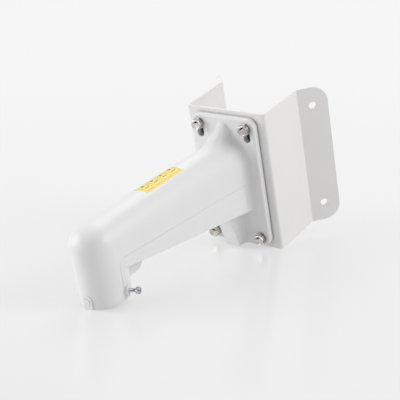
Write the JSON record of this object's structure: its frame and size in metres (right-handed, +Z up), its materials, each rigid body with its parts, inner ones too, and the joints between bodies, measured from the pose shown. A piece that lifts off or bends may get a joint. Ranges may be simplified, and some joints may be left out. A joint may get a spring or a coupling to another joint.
{
  "type": "camera corner mount arm",
  "caption": "Cast arm on a folded corner plate that holds a dome security camera off a building corner, with a domed elbow and a downward pipe mouth.",
  "frame": {"origin": "on the vertical edge of the building corner, at mid-height of the corner plate", "axes": "+Z up, +Y into the building, the arm reaches along -Y"},
  "size_m": [0.1766, 0.4242, 0.194],
  "materials": {
    "arm_paint": "satin powder coat",
    "plate_paint": "satin powder coat",
    "steel": "bright zinc or stainless",
    "bright_steel": "polished",
    "rubber": "matt",
    "label": "printed vinyl"
  },
  "bodies": {
    "bracket": {"corner_plate": "plate_paint", "arm_shell": "arm_paint", "arm_cover": "arm_paint", "cover_seal_left": "rubber", "cover_seal_right": "rubber", "flange_gasket": "rubber", "flat_washer_top_left": "steel", "spring_washer_top_left": "steel", "flange_bolt_top_left": "steel", "rear_washer_top_left": "steel", "rear_nut_top_left": "steel", "flat_washer_top_right": "steel", "spring_washer_top_right": "steel", "flange_bolt_top_right": "steel", "rear_washer_top_right": "steel", "rear_nut_top_right": "steel", "flat_washer_bottom_left": "steel", "spring_washer_bottom_left": "steel", "flange_bolt_bottom_left": "steel", "rear_washer_bottom_left": "steel", "rear_nut_bottom_left": "steel", "flat_washer_bottom_right": "steel", "spring_washer_bottom_right": "steel", "flange_bolt_bottom_right": "steel", "rear_washer_bottom_right": "steel", "rear_nut_bottom_right": "steel", "cover_screw_1": "steel", "cover_screw_2": "steel", "cover_screw_3": "steel", "cover_screw_4": "steel", "locating_pin": "arm_paint", "cable_grommet": "rubber", "top_label": "label"},
    "ring_left": {"lock_ring_left": "bright_steel"},
    "screw_left": {"lock_screw_left": "bright_steel"},
    "ring_right": {"lock_ring_right": "bright_steel"},
    "screw_right": {"lock_screw_right": "bright_steel"}
  },
  "joints": [
    {"name": "lock_travel_left", "type": "slide", "parent": "bracket", "child": "ring_left", "axis": [0.9537, -0.3007, 0], "range_m": [-0.0002, 0.0085]},
    {"name": "lock_turn_left", "type": "hinge", "parent": "ring_left", "child": "screw_left", "pos_m": [0, -0.30724, -0.009], "axis": [0.9537, -0.3007, 0], "range_deg": [-90, 3825]},
    {"name": "lock_travel_right", "type": "slide", "parent": "bracket", "child": "ring_right", "axis": [-0.9537, -0.3007, 0], "range_m": [-0.0002, 0.0085]},
    {"name": "lock_turn_right", "type": "hinge", "parent": "ring_right", "child": "screw_right", "pos_m": [0, -0.30724, -0.009], "axis": [-0.9537, -0.3007, 0], "range_deg": [-90, 3825]}
  ],
  "couplings": [
    {"joint": "lock_turn_left", "follows": "lock_travel_left", "rad_per_m": 7854},
    {"joint": "lock_turn_right", "follows": "lock_travel_right", "rad_per_m": 7854}
  ]
}
